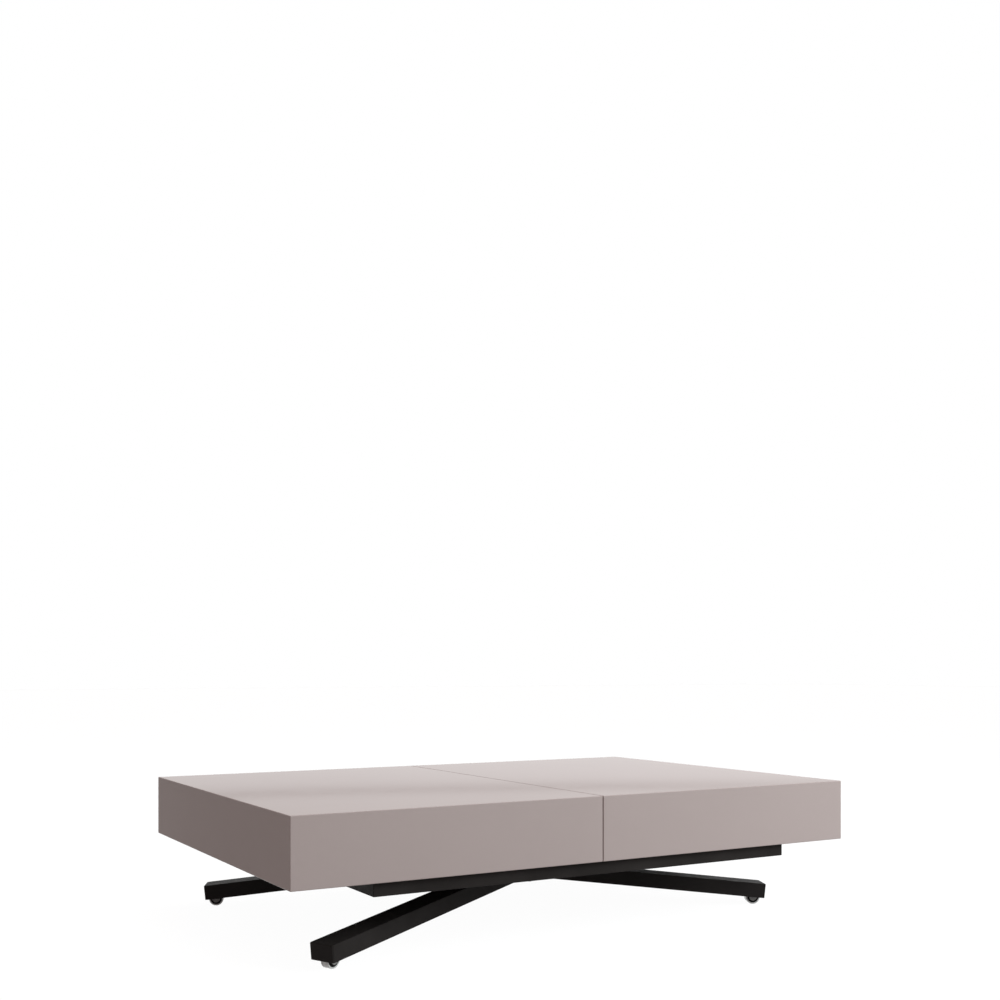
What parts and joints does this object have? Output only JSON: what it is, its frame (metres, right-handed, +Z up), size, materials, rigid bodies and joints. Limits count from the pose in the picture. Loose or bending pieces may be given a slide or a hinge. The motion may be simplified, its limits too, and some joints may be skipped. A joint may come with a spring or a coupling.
{
  "type": "convertible coffee dining table",
  "caption": "Low box-shaped table on wheeled scissor legs: it lifts to dining height, and its top splits and slides apart for stored leaves.",
  "frame": {"origin": "on the floor, under the middle of the closed and lowered table", "axes": "+X along the table's length, +Y to the back, +Z up"},
  "size_m": [1.2, 0.8, 0.27],
  "materials": {
    "lacquered_board": "matte lacquer",
    "black_steel": "satin",
    "bright_steel": "satin",
    "rail_aluminium": "anodised",
    "nylon": "matte",
    "felt": "felt",
    "beech": "plain",
    "black_plastic": "matte",
    "grey_tyre": "matte"
  },
  "bodies": {
    "frame": {"front_side_rail": "black_steel", "rear_side_rail": "black_steel", "left_end_bar": "black_steel", "right_end_bar": "black_steel", "cross_tubes": "black_steel", "strut_cross_tube": "black_steel", "guide_channels": "black_steel", "pivot_brackets": "black_steel", "strut_bracket": "black_steel", "bracket_pins": "bright_steel", "left_rail_guides": "nylon", "right_rail_guides": "nylon", "lower_leaf": "lacquered_board", "upper_leaf": "lacquered_board", "leaf_pads": "felt"},
    "left_half": {"left_top_panel": "lacquered_board", "left_front_apron": "lacquered_board", "left_rear_apron": "lacquered_board", "left_end_apron": "lacquered_board", "left_slide_rails": "rail_aluminium", "alignment_dowels": "beech"},
    "right_half": {"right_top_panel": "lacquered_board", "right_front_apron": "lacquered_board", "right_rear_apron": "lacquered_board", "right_end_apron": "lacquered_board", "right_slide_rails": "rail_aluminium"},
    "outer_legs": {"outer_leg_front": "black_steel", "outer_leg_rear": "black_steel", "outer_leg_caps": "black_steel", "outer_hub_sleeves": "black_steel", "centre_axle": "bright_steel", "outer_upper_arms": "black_steel", "pivot_shaft": "bright_steel", "crank_plates": "black_steel", "strut_lower_pin": "bright_steel", "outer_wheel_forks": "bright_steel", "outer_wheel_axles": "bright_steel"},
    "inner_legs": {"inner_leg_front": "black_steel", "inner_leg_rear": "black_steel", "inner_leg_caps": "black_steel", "inner_hub_sleeve": "black_steel", "inner_upper_arms": "black_steel", "roller_shaft": "bright_steel", "inner_wheel_forks": "bright_steel", "inner_wheel_axles": "bright_steel"},
    "front_roller": {"front_guide_roller": "nylon"},
    "rear_roller": {"rear_guide_roller": "nylon"},
    "strut_tube": {"strut_cylinder": "black_steel"},
    "strut_piston": {"strut_rod": "bright_steel"},
    "lever": {"release_lever": "black_steel", "lever_grip": "black_plastic"},
    "outer_rear_wheel": {"outer_rear_wheel_rim": "black_plastic", "outer_rear_wheel_tyre": "grey_tyre"},
    "outer_front_wheel": {"outer_front_wheel_rim": "black_plastic", "outer_front_wheel_tyre": "grey_tyre"},
    "inner_rear_wheel": {"inner_rear_wheel_rim": "black_plastic", "inner_rear_wheel_tyre": "grey_tyre"},
    "inner_front_wheel": {"inner_front_wheel_rim": "black_plastic", "inner_front_wheel_tyre": "grey_tyre"}
  },
  "joints": [
    {"name": "left_half_slide", "type": "slide", "parent": "frame", "child": "left_half", "axis": [-1, 0, 0], "range_m": [0, 0.402]},
    {"name": "right_half_slide", "type": "slide", "parent": "frame", "child": "right_half", "axis": [1, 0, 0], "range_m": [0, 0.402]},
    {"name": "lift", "type": "hinge", "parent": "frame", "child": "outer_legs", "pos_m": [0.395, 0, 0.1456], "axis": [0, -1, 0], "range_deg": [0, 35]},
    {"name": "scissor", "type": "hinge", "parent": "outer_legs", "child": "inner_legs", "pos_m": [0, 0, 0.09073], "axis": [0, 1, 0], "range_deg": [0, 70]},
    {"name": "strut_tube_swing", "type": "hinge", "parent": "frame", "child": "strut_tube", "pos_m": [0.29436, 0, 0.19], "axis": [0, -1, 0], "range_deg": [0, 17.5]},
    {"name": "strut_rod_swing", "type": "hinge", "parent": "outer_legs", "child": "strut_piston", "pos_m": [0.30511, 0, 0.0822], "axis": [0, 1, 0], "range_deg": [0, 17.5]},
    {"name": "release", "type": "hinge", "parent": "frame", "child": "lever", "pos_m": [0.33686, 0.045, 0.152], "axis": [0, -1, 0], "range_deg": [0, 6], "stiffness_Nm_per_rad": 4, "springref_deg": -14.32},
    {"name": "front_roller_spin", "type": "hinge", "parent": "inner_legs", "child": "front_roller", "pos_m": [-0.395, 0, 0.1456], "axis": [0, 1, 0], "continuous": true},
    {"name": "rear_roller_spin", "type": "hinge", "parent": "inner_legs", "child": "rear_roller", "pos_m": [-0.395, 0, 0.1456], "axis": [0, 1, 0], "continuous": true},
    {"name": "outer_rear_wheel_spin", "type": "hinge", "parent": "outer_legs", "child": "outer_rear_wheel", "pos_m": [-0.49788, 0.31616, 0.015], "axis": [0.4226, 0.9063, 0], "continuous": true},
    {"name": "outer_front_wheel_spin", "type": "hinge", "parent": "outer_legs", "child": "outer_front_wheel", "pos_m": [-0.49788, -0.31616, 0.015], "axis": [0.4226, -0.9063, 0], "continuous": true},
    {"name": "inner_rear_wheel_spin", "type": "hinge", "parent": "inner_legs", "child": "inner_rear_wheel", "pos_m": [0.49788, 0.24216, 0.015], "axis": [0.4226, -0.9063, 0], "continuous": true},
    {"name": "inner_front_wheel_spin", "type": "hinge", "parent": "inner_legs", "child": "inner_front_wheel", "pos_m": [0.49788, -0.24216, 0.015], "axis": [0.4226, 0.9063, 0], "continuous": true}
  ],
  "couplings": [
    {"joint": "scissor", "follows": "lift", "ratio": 2},
    {"joint": "strut_tube_swing", "follows": "lift", "ratio": 0.5},
    {"joint": "strut_rod_swing", "follows": "lift", "ratio": 0.5}
  ]
}
